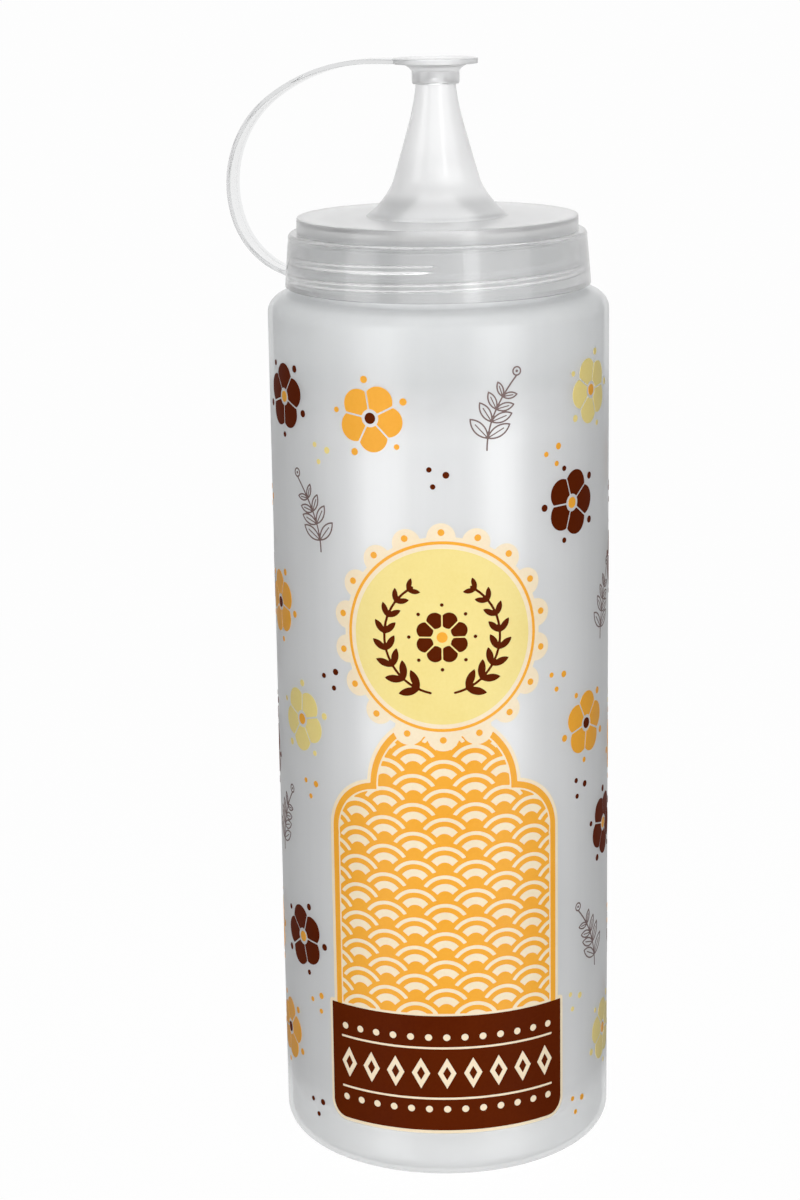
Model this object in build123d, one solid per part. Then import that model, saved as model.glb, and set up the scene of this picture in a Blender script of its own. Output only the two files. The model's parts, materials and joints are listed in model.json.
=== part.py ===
from build123d import *
import math
import os

# One-litre squeeze sauce bottle: a blow-moulded body with a wide threaded neck, and a
# screw-on dispensing closure with a conical nozzle and a tethered push-on tip cap.
# Millimetres, +Z up, origin at the centre of the base on the plane it stands on.

# ---------------------------------------------------------------- bottle body
R_BODY = 40.0            # outside radius of the barrel
WALL = 1.1               # blown wall
Z_SHOULDER = 207.6       # top of the flat shoulder
R_SHOULDER_EDGE = 4.5    # corner between the barrel and the shoulder
R_BASE_EDGE = 5.0        # corner between the barrel and the base
R_STAND_OUT = 35.0       # flat standing ring, outside and inside
R_STAND_IN = 29.9
R_STAND_LIP = 2.0        # radius at the ring's inner edge
PUSH_UP = 2.4            # height of the raised middle of the base
R_PUSH_UP = 22.0         # flat of the raised middle
R_PUSH_UP_EDGE = 12.0    # its edge turns down 30 degrees on this radius
R_NECK = 32.0            # outside of the neck between the threads
R_NECK_IN = 29.6         # mouth
Z_NECK_STEP = 219.9      # top of the threaded part of the neck
R_LIP = 30.9             # sealing lip above it
Z_LIP = 222.55

# --------------------------------------------------------------------- thread
PITCH = 4.2              # single start, right hand
NECK_TURNS = 1.25
CAP_TURNS = 1.25
THREAD_Z = 211.3         # centre of the neck ridge where it starts
NECK_THREAD_ANGLE = 25.0 # and the angle where it starts
R_NECK_CREST = 33.15
R_CAP_CREST = 32.35
RIDGE_ROOT = 2.0         # axial width of a ridge at its root and at its crest
RIDGE_CREST = 0.9
RIDGE_OFFSET = 1.75      # the cap's ridge runs this far below the neck's
CAP_THREAD_ANGLE = 185.0

# ---------------------------------------------------------------- screw cap
Z_SKIRT = 209.2          # lower edge of the skirt
R_SKIRT_LOW = 35.75      # the skirt flares a little towards its lower edge
R_SKIRT_MID = 35.25
R_SKIRT_TOP = 34.85
R_SKIRT_IN = 33.5
Z_LEDGE = 221.6          # step between the skirt and the narrower rim
R_LEDGE = 34.3
R_RIM = 32.84
Z_TOP = 225.2            # flat top disc
TOP_THICK = 1.3
R_POCKET = 31.4          # recess inside the rim that holds the washer
Z_SKIRT_ROOF = 220.6
Z_TIP = 258.4            # end of the nozzle
R_ORIFICE = 1.75

# -------------------------------------------------------------- sealing washer
WASHER_OUT = 31.2
WASHER_IN = 27.8
WASHER_LOW = 222.6
WASHER_HIGH = 223.85

# ------------------------------------------------------ tip cap and its strap
Z_DISC = 261.1           # top of the tip cap's lid
DISC_THICK = 1.25
R_DISC = 9.8
R_CUP = 5.5
Z_CUP = 255.3            # mouth of the cup
R_BORE_MOUTH = 4.95
R_BORE_END = 4.6
Z_BORE_END = 258.6
R_PLUG = 1.5
PLUG_LONG = 1.7
STRAP_WIDE = 7.0
STRAP_THICK = 1.1
STRAP_TURN = 15.5        # the strap's plane is this far behind the left side
STRAP_Z = 260.4          # its centre line where it leaves the lid
STRAP_FLAT_END = 14.4    # end of the straight stretch, measured from the axis
STRAP_ARCS = [(42.79, 36.34), (25.56, 71.19), (19.26, 57.50)]   # radius, degrees
HINGE_AT = 30.0          # degrees along the first arc

os.makedirs("parts", exist_ok=True)


def turned(points):
    """Solid of revolution from a closed outline of ("line", end) and ("arc", mid, end) steps."""
    start = points[0]
    here, edges = start, []
    for step in points[1:]:
        if step[0] == "line":
            edges.append(Edge.make_line((here[0], 0, here[1]), (step[1][0], 0, step[1][1])))
            here = step[1]
        else:
            mid, end = step[1], step[2]
            edges.append(
                Edge.make_three_point_arc(
                    (here[0], 0, here[1]), (mid[0], 0, mid[1]), (end[0], 0, end[1])
                )
            )
            here = end
    if here != start:
        edges.append(Edge.make_line((here[0], 0, here[1]), (start[0], 0, start[1])))
    return revolve(Face(Wire(edges)), Axis.Z, 360)


def polar(cx, cz, r, a):
    """The point at angle a, in degrees from outwards, on a circle about (cx, cz)."""
    return (cx + r * math.cos(math.radians(a)), cz + r * math.sin(math.radians(a)))


def corner(cx, cz, r, a0, a1):
    """An arc step about (cx, cz) from angle a0 to a1."""
    return ("arc", polar(cx, cz, r, (a0 + a1) / 2), polar(cx, cz, r, a1))


def ridge(root_r, crest_r, z, angle, turns):
    """A helical ridge with a trapezoid section, from root_r to crest_r, centred on height z at its start."""
    path = Helix(PITCH, PITCH * turns, root_r)
    over = 0.3 if root_r < crest_r else -0.3
    x0, x1 = -over, crest_r - root_r
    slope = (RIDGE_ROOT - RIDGE_CREST) / 2 / abs(x1)
    wide = RIDGE_ROOT / 2 + slope * abs(over)
    plane = Plane(origin=path @ 0, x_dir=(1, 0, 0), z_dir=path % 0)
    section = plane * make_face(
        Polyline(
            (x0, -wide), (x1, -RIDGE_CREST / 2), (x1, RIDGE_CREST / 2), (x0, wide), close=True
        )
    )
    return Pos(0, 0, z) * Rot(0, 0, angle) * sweep(section, path, is_frenet=True)


# ================================================================ bottle body
r1, r2 = R_BASE_EDGE, R_SHOULDER_EDGE
ri = R_BODY - WALL
body = turned(
    [
        (0, PUSH_UP),
        ("line", (R_PUSH_UP, PUSH_UP)),
        corner(R_PUSH_UP, PUSH_UP - R_PUSH_UP_EDGE, R_PUSH_UP_EDGE, 90, 60),
        ("line", polar(R_STAND_IN, R_STAND_LIP, R_STAND_LIP, -120)),
        corner(R_STAND_IN, R_STAND_LIP, R_STAND_LIP, -120, -90),
        ("line", (R_STAND_OUT, 0)),
        corner(R_BODY - r1, r1, r1, -90, 0),
        ("line", (R_BODY, Z_SHOULDER - r2)),
        corner(R_BODY - r2, Z_SHOULDER - r2, r2, 0, 90),
        ("line", (R_NECK + 0.8, Z_SHOULDER)),
        corner(R_NECK + 0.8, Z_SHOULDER + 0.8, 0.8, -90, -180),
        ("line", (R_NECK, Z_NECK_STEP - 0.4)),
        corner(R_NECK - 0.4, Z_NECK_STEP - 0.4, 0.4, 0, 90),
        ("line", (R_LIP, Z_NECK_STEP)),
        ("line", (R_LIP, Z_LIP - 0.35)),
        corner(R_LIP - 0.35, Z_LIP - 0.35, 0.35, 0, 90),
        ("line", (R_NECK_IN, Z_LIP)),
        ("line", (R_NECK_IN, Z_SHOULDER - WALL + 1.2)),
        ("arc", (R_NECK_IN + 0.28, Z_SHOULDER - WALL + 0.3), (R_NECK_IN + 1.2, Z_SHOULDER - WALL)),
        ("line", (ri - (r2 - WALL), Z_SHOULDER - WALL)),
        corner(ri - (r2 - WALL), Z_SHOULDER - r2, r2 - WALL, 90, 0),
        ("line", (ri, r1)),
        corner(ri - (r1 - WALL), r1, r1 - WALL, 0, -90),
        ("line", (R_STAND_IN, WALL)),
        corner(R_STAND_IN, R_STAND_LIP, R_STAND_LIP - WALL, -90, -120),
        ("line", polar(R_PUSH_UP, PUSH_UP - R_PUSH_UP_EDGE, R_PUSH_UP_EDGE + WALL, 60)),
        corner(R_PUSH_UP, PUSH_UP - R_PUSH_UP_EDGE, R_PUSH_UP_EDGE + WALL, 60, 90),
        ("line", (0, PUSH_UP + WALL)),
    ]
)
neck_ridge = ridge(R_NECK, R_NECK_CREST, THREAD_Z, NECK_THREAD_ANGLE, NECK_TURNS)
bottle_body = (body + neck_ridge).solid()

# ================================================================== screw cap
zi = Z_TOP - TOP_THICK
cap = turned(
    [
        (R_SKIRT_IN + 0.5, Z_SKIRT),
        ("line", (R_SKIRT_LOW - 0.25, Z_SKIRT)),
        corner(R_SKIRT_LOW - 0.25, Z_SKIRT + 0.25, 0.25, -90, 0),
        ("arc", (R_SKIRT_MID, 216.0), (R_SKIRT_TOP, 220.4)),
        ("arc", (34.72, 221.2), (R_LEDGE, Z_LEDGE)),
        ("line", (R_RIM, Z_LEDGE)),
        ("line", (R_RIM, Z_TOP - 0.4)),
        corner(R_RIM - 0.4, Z_TOP - 0.4, 0.4, 0, 90),
        ("line", (16.6, Z_TOP)),
        ("arc", (12.95, 228.6), (10.25, 232.9)),
        ("arc", (8.05, 240.3), (6.0, 247.6)),
        ("arc", (5.02, 252.2), (4.62, Z_CUP)),
        ("line", (4.3, Z_TIP - 0.35)),
        ("arc", (4.16, Z_TIP - 0.1), (3.9, Z_TIP)),
        ("line", (R_ORIFICE, Z_TIP)),
        ("line", (R_ORIFICE, Z_TIP - 1.6)),
        ("line", (2.9, Z_TIP - 2.3)),
        ("line", (3.45, Z_CUP)),
        ("arc", (3.87, 252.0), (4.85, 247.4)),
        ("arc", (6.9, 240.0), (9.1, 232.5)),
        ("arc", (11.9, 227.9), (15.4, zi)),
        ("line", (R_POCKET, zi)),
        ("line", (R_POCKET, Z_SKIRT_ROOF)),
        ("line", (R_SKIRT_IN, Z_SKIRT_ROOF)),
        ("line", (R_SKIRT_IN, Z_SKIRT + 1.0)),
    ]
)
start_turn = (CAP_THREAD_ANGLE - NECK_THREAD_ANGLE) / 360
cap_ridge = ridge(
    R_SKIRT_IN,
    R_CAP_CREST,
    THREAD_Z - RIDGE_OFFSET + PITCH * start_turn,
    CAP_THREAD_ANGLE,
    CAP_TURNS,
)
screw_cap = (cap + cap_ridge).solid()

# ============================================================= sealing washer
sealing_washer = turned(
    [
        (WASHER_IN, WASHER_LOW),
        ("line", (WASHER_OUT, WASHER_LOW)),
        ("line", (WASHER_OUT, WASHER_HIGH)),
        ("line", (WASHER_IN, WASHER_HIGH)),
    ]
).solid()


# ====================================================================== strap
# The strap is a flat ribbon in a vertical plane through the axis. Its centre line leaves
# the lid level, turns down through three tangent arcs and comes back to the skirt.
def strap_points():
    """(s, z, heading) of the centre line at each joint of its arcs, s being the distance from the axis."""
    s, z, h = STRAP_FLAT_END, STRAP_Z, 0.0
    out = [(s, z, h)]
    for r, deg in STRAP_ARCS:
        cx, cz = s + r * math.sin(h), z - r * math.cos(h)
        h -= math.radians(deg)
        s, z = cx - r * math.sin(h), cz + r * math.cos(h)
        out.append((s, z, h))
    return out


def off(p, d):
    """A point d to the outside of the strap's centre line."""
    s, z, h = p
    return (s - d * math.sin(h), z + d * math.cos(h))


def on_arc(p, r, deg):
    """The centre line's point deg further along an arc of radius r that starts at p."""
    s, z, h = p
    cx, cz = s + r * math.sin(h), z - r * math.cos(h)
    h -= math.radians(deg)
    return (cx - r * math.sin(h), cz + r * math.cos(h), h)


def ribbon(steps, start):
    """A ribbon solid from a start point on the centre line and (radius, degrees) arcs; radius 0 is a straight of that length."""
    t = STRAP_THICK / 2
    outer, inner, p = [], [], start
    for r, deg in steps:
        if r == 0:
            q = (p[0] + deg * math.cos(p[2]), p[1] + deg * math.sin(p[2]), p[2])
            outer.append(("line", off(p, t), off(q, t)))
            inner.append(("line", off(p, -t), off(q, -t)))
        else:
            m, q = on_arc(p, r, deg / 2), on_arc(p, r, deg)
            outer.append(("arc", off(p, t), off(m, t), off(q, t)))
            inner.append(("arc", off(p, -t), off(m, -t), off(q, -t)))
        p = q
    def v(a):
        return (-a[0], 0, a[1])
    edges = []
    for e in outer:
        edges.append(
            Edge.make_line(v(e[1]), v(e[2])) if e[0] == "line" else Edge.make_three_point_arc(v(e[1]), v(e[2]), v(e[3]))
        )
    edges.append(Edge.make_line(v(off(p, t)), v(off(p, -t))))
    for e in reversed(inner):
        edges.append(
            Edge.make_line(v(e[2]), v(e[1])) if e[0] == "line" else Edge.make_three_point_arc(v(e[3]), v(e[2]), v(e[1]))
        )
    edges.append(Edge.make_line(v(off(start, -t)), v(off(start, t))))
    face = Face(Wire(edges))
    return extrude(face, STRAP_WIDE / 2, dir=(0, 1, 0), both=True)


turn = Rot(0, 0, -STRAP_TURN)
p0, p1, p2, p3 = strap_points()
hinge_point = on_arc(p0, STRAP_ARCS[0][0], HINGE_AT)
hinge_s, hinge_z = off(hinge_point, STRAP_THICK / 2)

upper = ribbon(
    [(0, STRAP_FLAT_END - 7.0), (STRAP_ARCS[0][0], HINGE_AT)], (7.0, STRAP_Z, 0.0)
)
lid_blank = Cylinder(R_DISC, 20).moved(Pos(0, 0, STRAP_Z))
strap_upper = (turn * (upper - lid_blank)).solid()

lower = ribbon(
    [
        (STRAP_ARCS[0][0], STRAP_ARCS[0][1] - HINGE_AT),
        STRAP_ARCS[1],
        STRAP_ARCS[2],
        (0, 4.0),
    ],
    hinge_point,
)
skirt_blank = turned(
    [
        (0, Z_SKIRT - 3),
        ("line", (R_SKIRT_LOW, Z_SKIRT - 3)),
        ("line", (R_SKIRT_LOW, Z_SKIRT + 0.25)),
        ("arc", (R_SKIRT_MID, 216.0), (R_SKIRT_TOP, 220.4)),
        ("line", (0, 220.4)),
    ]
)
strap_lower = (turn * (lower - skirt_blank)).solid()

# ==================================================================== tip cap
zd = Z_DISC - DISC_THICK
tip_cap = turned(
    [
        (0, Z_DISC - 0.25),
        ("line", (R_CUP, Z_DISC - 0.25)),
        ("line", (R_CUP + 1.2, Z_DISC)),
        ("line", (R_DISC - 0.3, Z_DISC)),
        corner(R_DISC - 0.3, Z_DISC - 0.3, 0.3, 90, 0),
        ("line", (R_DISC, zd + 0.2)),
        corner(R_DISC - 0.2, zd + 0.2, 0.2, 0, -90),
        ("line", (8.6, zd)),
        ("arc", (6.75, zd - 0.5), (R_CUP, zd - 1.65)),
        ("line", (R_CUP, Z_CUP + 0.4)),
        ("line", (R_CUP - 0.25, Z_CUP)),
        ("line", (R_BORE_MOUTH, Z_CUP)),
        ("line", (R_BORE_END, Z_BORE_END)),
        ("line", (R_PLUG, Z_BORE_END)),
        ("line", (R_PLUG, Z_BORE_END - PLUG_LONG + 0.3)),
        ("line", (R_PLUG - 0.3, Z_BORE_END - PLUG_LONG)),
        ("line", (0, Z_BORE_END - PLUG_LONG)),
    ]
).solid()

for name, solid in {
    "bottle_body": bottle_body,
    "sealing_washer": sealing_washer,
    "screw_cap": screw_cap,
    "strap_lower": strap_lower,
    "strap_upper": strap_upper,
    "tip_cap": tip_cap,
}.items():
    export_step(solid, f"parts/{name}.step")

a = math.radians(STRAP_TURN)
print("hinge at", round(-hinge_s * math.cos(a), 4), round(hinge_s * math.sin(a), 4), round(hinge_z, 4))
print("hinge axis", round(math.sin(a), 6), round(math.cos(a), 6))
inside = math.pi * (ri**2 * (Z_SHOULDER - 2 * WALL) + R_NECK_IN**2 * (Z_LIP - Z_SHOULDER + WALL))
print("cap lift per turn", PITCH, "about", round(inside / 1e6, 3), "litres inside to the brim")
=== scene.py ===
import json
import math

import bmesh
import bpy
import numpy as np
from mathutils import Matrix, Vector, geometry

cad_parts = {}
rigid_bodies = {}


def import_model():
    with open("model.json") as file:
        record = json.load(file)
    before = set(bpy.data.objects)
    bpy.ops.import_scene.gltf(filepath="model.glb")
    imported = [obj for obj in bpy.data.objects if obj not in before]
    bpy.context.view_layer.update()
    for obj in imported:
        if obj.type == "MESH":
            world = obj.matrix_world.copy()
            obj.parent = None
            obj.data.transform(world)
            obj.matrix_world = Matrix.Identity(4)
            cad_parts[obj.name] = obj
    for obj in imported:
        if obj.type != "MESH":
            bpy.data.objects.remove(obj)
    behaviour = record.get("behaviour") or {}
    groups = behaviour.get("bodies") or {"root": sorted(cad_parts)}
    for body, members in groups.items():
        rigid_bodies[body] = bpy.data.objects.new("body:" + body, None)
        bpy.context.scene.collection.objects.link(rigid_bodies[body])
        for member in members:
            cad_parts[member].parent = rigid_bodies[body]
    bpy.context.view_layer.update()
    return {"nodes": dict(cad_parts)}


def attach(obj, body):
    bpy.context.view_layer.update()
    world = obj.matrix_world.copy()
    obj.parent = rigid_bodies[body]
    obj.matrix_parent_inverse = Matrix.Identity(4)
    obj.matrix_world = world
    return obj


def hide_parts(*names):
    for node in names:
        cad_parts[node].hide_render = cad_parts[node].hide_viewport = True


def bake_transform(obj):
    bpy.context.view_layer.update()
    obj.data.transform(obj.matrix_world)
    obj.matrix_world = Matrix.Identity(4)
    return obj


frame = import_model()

NODES = frame["nodes"]

# ------------------------------------------------------------------ sizes, metres
R_BODY = 0.040


# ---------------------------------------------------------------------- helpers
def collection_add(obj):
    bpy.context.scene.collection.objects.link(obj)
    return obj


def new_mesh(name, verts, faces, smooth=True):
    me = bpy.data.meshes.new(name)
    me.from_pydata([tuple(map(float, v)) for v in verts], [], [tuple(map(int, f)) for f in faces])
    me.validate()
    me.update()
    if smooth:
        me.polygons.foreach_set("use_smooth", [True] * len(me.polygons))
    return collection_add(bpy.data.objects.new(name, me))


# -------------------------------------------------------------------- materials
def material(name):
    m = bpy.data.materials.new(name)
    m.use_nodes = True
    nt = m.node_tree
    nt.nodes.clear()
    return m, nt, nt.nodes, nt.links


def noise(N, L, vec, scale, detail=3, rough=0.5, stretch=None):
    """A noise texture on object coordinates, stretched if asked."""
    if stretch is not None:
        mp = N.new("ShaderNodeMapping")
        mp.inputs["Scale"].default_value = stretch
        L.new(vec, mp.inputs["Vector"])
        vec = mp.outputs["Vector"]
    t = N.new("ShaderNodeTexNoise")
    t.inputs["Scale"].default_value = scale
    t.inputs["Detail"].default_value = detail
    t.inputs["Roughness"].default_value = rough
    L.new(vec, t.inputs["Vector"])
    return t.outputs["Fac"]


def ranged(N, L, value, lo, hi, out_lo, out_hi, smooth=True):
    """value from lo..hi mapped to out_lo..out_hi, held at both ends."""
    r = N.new("ShaderNodeMapRange")
    r.interpolation_type = "SMOOTHSTEP" if smooth else "LINEAR"
    L.new(value, r.inputs["Value"])
    r.inputs["From Min"].default_value = lo
    r.inputs["From Max"].default_value = hi
    r.inputs["To Min"].default_value = out_lo
    r.inputs["To Max"].default_value = out_hi
    return r.outputs["Result"]


def math2(N, L, op, a, b):
    m = N.new("ShaderNodeMath")
    m.operation = op
    for i, v in enumerate((a, b)):
        if isinstance(v, (int, float)):
            m.inputs[i].default_value = v
        else:
            L.new(v, m.inputs[i])
    return m.outputs[0]


def tinted(N, L, fac, dark, light):
    ramp = N.new("ShaderNodeValToRGB")
    ramp.color_ramp.elements[0].position = 0.3
    ramp.color_ramp.elements[1].position = 0.7
    ramp.color_ramp.elements[0].color = (*dark, 1)
    ramp.color_ramp.elements[1].color = (*light, 1)
    L.new(fac, ramp.inputs["Fac"])
    return ramp.outputs["Color"]


def bumped(N, L, height, strength, distance):
    b = N.new("ShaderNodeBump")
    b.inputs["Strength"].default_value = strength
    b.inputs["Distance"].default_value = distance
    L.new(height, b.inputs["Height"])
    return b.outputs["Normal"]


def body_material():
    """Blow-moulded milky polyethylene: satin skin, long soft flow streaks, and a wall that is clearer at the shoulder, neck and base."""
    m, nt, N, L = material("milky_polyethylene")
    out = N.new("ShaderNodeOutputMaterial")
    tc = N.new("ShaderNodeTexCoord")
    obj = tc.outputs["Object"]
    xyz = N.new("ShaderNodeSeparateXYZ")
    L.new(obj, xyz.inputs[0])
    streak = noise(N, L, obj, 1.0, 4, 0.55, (110, 110, 3.5))
    blotch = noise(N, L, obj, 26, 2)
    fine = noise(N, L, obj, 700, 3)
    tone = math2(N, L, "ADD", math2(N, L, "MULTIPLY", streak, 0.65), math2(N, L, "MULTIPLY", blotch, 0.35))
    colour = tinted(N, L, tone, (0.800, 0.808, 0.815), (0.870, 0.876, 0.880))
    z = xyz.outputs["Z"]
    low = ranged(N, L, z, 0.0105, 0.0200, 1.0, 0.0)
    mc = N.new("ShaderNodeMix")
    mc.data_type = "RGBA"
    L.new(low, mc.inputs["Factor"])
    L.new(colour, mc.inputs["A"])
    L.new(tinted(N, L, tone, (0.925, 0.929, 0.933), (0.960, 0.963, 0.965)), mc.inputs["B"])
    colour = mc.outputs["Result"]
    height = math2(N, L, "ADD", math2(N, L, "MULTIPLY", tone, 0.7), math2(N, L, "MULTIPLY", fine, 0.12))
    normal = bumped(N, L, height, 0.15, 0.0004)
    bs = N.new("ShaderNodeBsdfPrincipled")
    L.new(colour, bs.inputs["Base Color"])
    L.new(ranged(N, L, blotch, 0.3, 0.7, 0.30, 0.38), bs.inputs["Roughness"])
    bs.inputs["IOR"].default_value = 1.51
    bs.inputs["Specular IOR Level"].default_value = 0.8
    L.new(normal, bs.inputs["Normal"])
    tr = N.new("ShaderNodeBsdfTranslucent")
    L.new(colour, tr.inputs["Color"])
    m1 = N.new("ShaderNodeMixShader")
    m1.inputs["Fac"].default_value = 0.25
    L.new(bs.outputs[0], m1.inputs[1])
    L.new(tr.outputs[0], m1.inputs[2])
    tp = N.new("ShaderNodeBsdfTransparent")
    tp.inputs["Color"].default_value = (0.985, 0.99, 0.992, 1)
    top = math2(N, L, "MULTIPLY", ranged(N, L, z, 0.178, 0.193, 0.0, 1.0), ranged(N, L, z, 0.2070, 0.2105, 1.0, 0.2))
    clear = math2(N, L, "ADD", 0.12, math2(N, L, "ADD", math2(N, L, "MULTIPLY", top, 0.42), math2(N, L, "MULTIPLY", low, 0.48)))
    m2 = N.new("ShaderNodeMixShader")
    L.new(clear, m2.inputs["Fac"])
    L.new(m1.outputs[0], m2.inputs[1])
    L.new(tp.outputs[0], m2.inputs[2])
    L.new(m2.outputs[0], out.inputs["Surface"])
    return m


def cap_material(name, thick=0.865, mid=0.92, flare=0.67, thin=0.985, trans=(0.80, 0.94), rough=(0.20, 0.285), change=(0.2262, 0.2335), dense=0.0, skin=0.012, haze=0.0, coat=0.35, ior=1.51):
    """Injection-moulded clearer polyethylene: glossy, lets the neck show through. The thick skirt reads greyer, and the
    thin spout whiter and hazier. The darker grey (flare) in the fillet where the spout rises out of the top is painted
    shade.
    """
    m, nt, N, L = material(name)
    out = N.new("ShaderNodeOutputMaterial")
    tc = N.new("ShaderNodeTexCoord")
    obj = tc.outputs["Object"]
    xyz = N.new("ShaderNodeSeparateXYZ")
    L.new(obj, xyz.inputs[0])
    z = xyz.outputs["Z"]
    flow = noise(N, L, obj, 45, 3)
    fine = noise(N, L, obj, 1100, 2)
    grey = tinted(N, L, flow, (thick - 0.015, thick - 0.01, thick - 0.005), (thick + 0.015, thick + 0.018, thick + 0.02))
    pale = tinted(N, L, flow, (thin - 0.012, thin - 0.01, thin - 0.008), (thin + 0.012, thin + 0.012, thin + 0.014))
    root = tinted(N, L, flow, (mid - 0.015, mid - 0.01, mid - 0.008), (mid + 0.012, mid + 0.014, mid + 0.016))
    # painted shade: the fillet at the base of the spout gets a darker grey (flare) to stand in for the shade there
    painted_shade_foot = tinted(N, L, flow, (flare - 0.015, flare - 0.01, flare - 0.008), (flare + 0.012, flare + 0.014, flare + 0.016))
    colour = grey
    for lo, hi, other in ((0.2243, 0.2250, root), (0.2253, 0.2258, painted_shade_foot), (0.2282, 0.2312, pale)):
        mc = N.new("ShaderNodeMix")
        mc.data_type = "RGBA"
        L.new(ranged(N, L, z, lo, hi, 0.0, 1.0), mc.inputs["Factor"])
        L.new(colour, mc.inputs["A"])
        L.new(other, mc.inputs["B"])
        colour = mc.outputs["Result"]
    height = math2(N, L, "ADD", math2(N, L, "MULTIPLY", flow, 0.8), math2(N, L, "MULTIPLY", fine, 0.06))
    bs = N.new("ShaderNodeBsdfPrincipled")
    L.new(colour, bs.inputs["Base Color"])
    L.new(ranged(N, L, z, 0.2214, 0.2218, *rough), bs.inputs["Roughness"])
    bs.inputs["IOR"].default_value = ior
    see = ranged(N, L, z, change[0], change[1], *trans)
    if haze:
        milky = math2(N, L, "MULTIPLY", ranged(N, L, z, 0.2256, 0.2264, 0.0, haze), ranged(N, L, z, 0.2345, 0.2410, 1.0, 0.0))
        see = math2(N, L, "SUBTRACT", see, milky)
    # the haze is in the outer skin: light leaving the plastic from inside isn't scattered again
    side = N.new("ShaderNodeNewGeometry")
    L.new(math2(N, L, "MAXIMUM", see, side.outputs["Backfacing"]), bs.inputs["Transmission Weight"])
    bs.inputs["Specular IOR Level"].default_value = 0.45
    bs.inputs["Coat Weight"].default_value = coat
    bs.inputs["Coat Roughness"].default_value = 0.06
    bs.inputs["Coat IOR"].default_value = 1.45
    if skin:
        L.new(bumped(N, L, height, skin, 0.0003), bs.inputs["Normal"])
    L.new(bs.outputs[0], out.inputs["Surface"])
    if dense:
        va = N.new("ShaderNodeVolumeAbsorption")
        va.inputs["Color"].default_value = (0.30, 0.32, 0.33, 1)
        va.inputs["Density"].default_value = dense
        L.new(va.outputs[0], out.inputs["Volume"])
    return m


def washer_material():
    m, nt, N, L = material("white_silicone")
    out = N.new("ShaderNodeOutputMaterial")
    tc = N.new("ShaderNodeTexCoord")
    obj = tc.outputs["Object"]
    flow = noise(N, L, obj, 300, 3)
    bs = N.new("ShaderNodeBsdfPrincipled")
    L.new(tinted(N, L, flow, (0.78, 0.78, 0.77), (0.86, 0.86, 0.85)), bs.inputs["Base Color"])
    bs.inputs["Roughness"].default_value = 0.55
    L.new(bumped(N, L, flow, 0.2, 0.0002), bs.inputs["Normal"])
    L.new(bs.outputs[0], out.inputs["Surface"])
    return m


def ink_material(name, dark, light, rough=0.46, sheen=0.3):
    """A screen-printed ink: slightly uneven cover, fine pinholes in its gloss, satin skin."""
    m, nt, N, L = material(name)
    out = N.new("ShaderNodeOutputMaterial")
    tc = N.new("ShaderNodeTexCoord")
    obj = tc.outputs["Object"]
    cover = noise(N, L, obj, 55, 4, 0.6)
    grain = noise(N, L, obj, 1500, 2)
    tone = math2(N, L, "ADD", math2(N, L, "MULTIPLY", cover, 0.7), math2(N, L, "MULTIPLY", grain, 0.3))
    bs = N.new("ShaderNodeBsdfPrincipled")
    L.new(tinted(N, L, tone, dark, light), bs.inputs["Base Color"])
    L.new(ranged(N, L, cover, 0.3, 0.7, rough - 0.05, rough + 0.07), bs.inputs["Roughness"])
    bs.inputs["IOR"].default_value = 1.5
    bs.inputs["Specular IOR Level"].default_value = sheen
    L.new(bumped(N, L, tone, 0.10, 0.0002), bs.inputs["Normal"])
    L.new(bs.outputs[0], out.inputs["Surface"])
    return m


def lin(r, g, b):
    return tuple((v / 255 / 12.92) if v / 255 <= 0.04045 else ((v / 255 + 0.055) / 1.055) ** 2.4 for v in (r, g, b))


MAT_INK = {
    "cream": ink_material("cream_ink", lin(244, 224, 190), lin(252, 236, 206), sheen=0.2),
    "yellow": ink_material("pale_yellow_ink", lin(243, 222, 138), lin(249, 230, 152), sheen=0.15),
    "caramel": ink_material("caramel_ink", lin(245, 169, 48), lin(251, 179, 60), sheen=0.12),
    "brown": ink_material("brown_ink", lin(84, 25, 0), lin(95, 33, 2), 0.55, 0.02),
    "line": ink_material("grey_brown_ink", lin(96, 74, 72), lin(116, 94, 90), 0.5),
}
MAT_BODY = body_material()
MAT_CAP = cap_material("clear_polyethylene", haze=0.30)
MAT_TIP = cap_material("clear_polyethylene_tip", thin=0.90, trans=(0.82, 0.82), rough=(0.285, 0.285), dense=20.0, coat=0.25)
MAT_STRAP = cap_material("clear_polyethylene_strap", thick=0.885, mid=0.885, flare=0.885, thin=0.885, trans=(1.0, 1.0), rough=(0.10, 0.10), dense=32.0, skin=0.0, coat=0.0, ior=1.15)
MAT_WASHER = washer_material()


def give(node, mat):
    o = NODES[node]
    for s in o.material_slots:
        s.material = mat


give("sealing_washer", MAT_WASHER)


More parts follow.
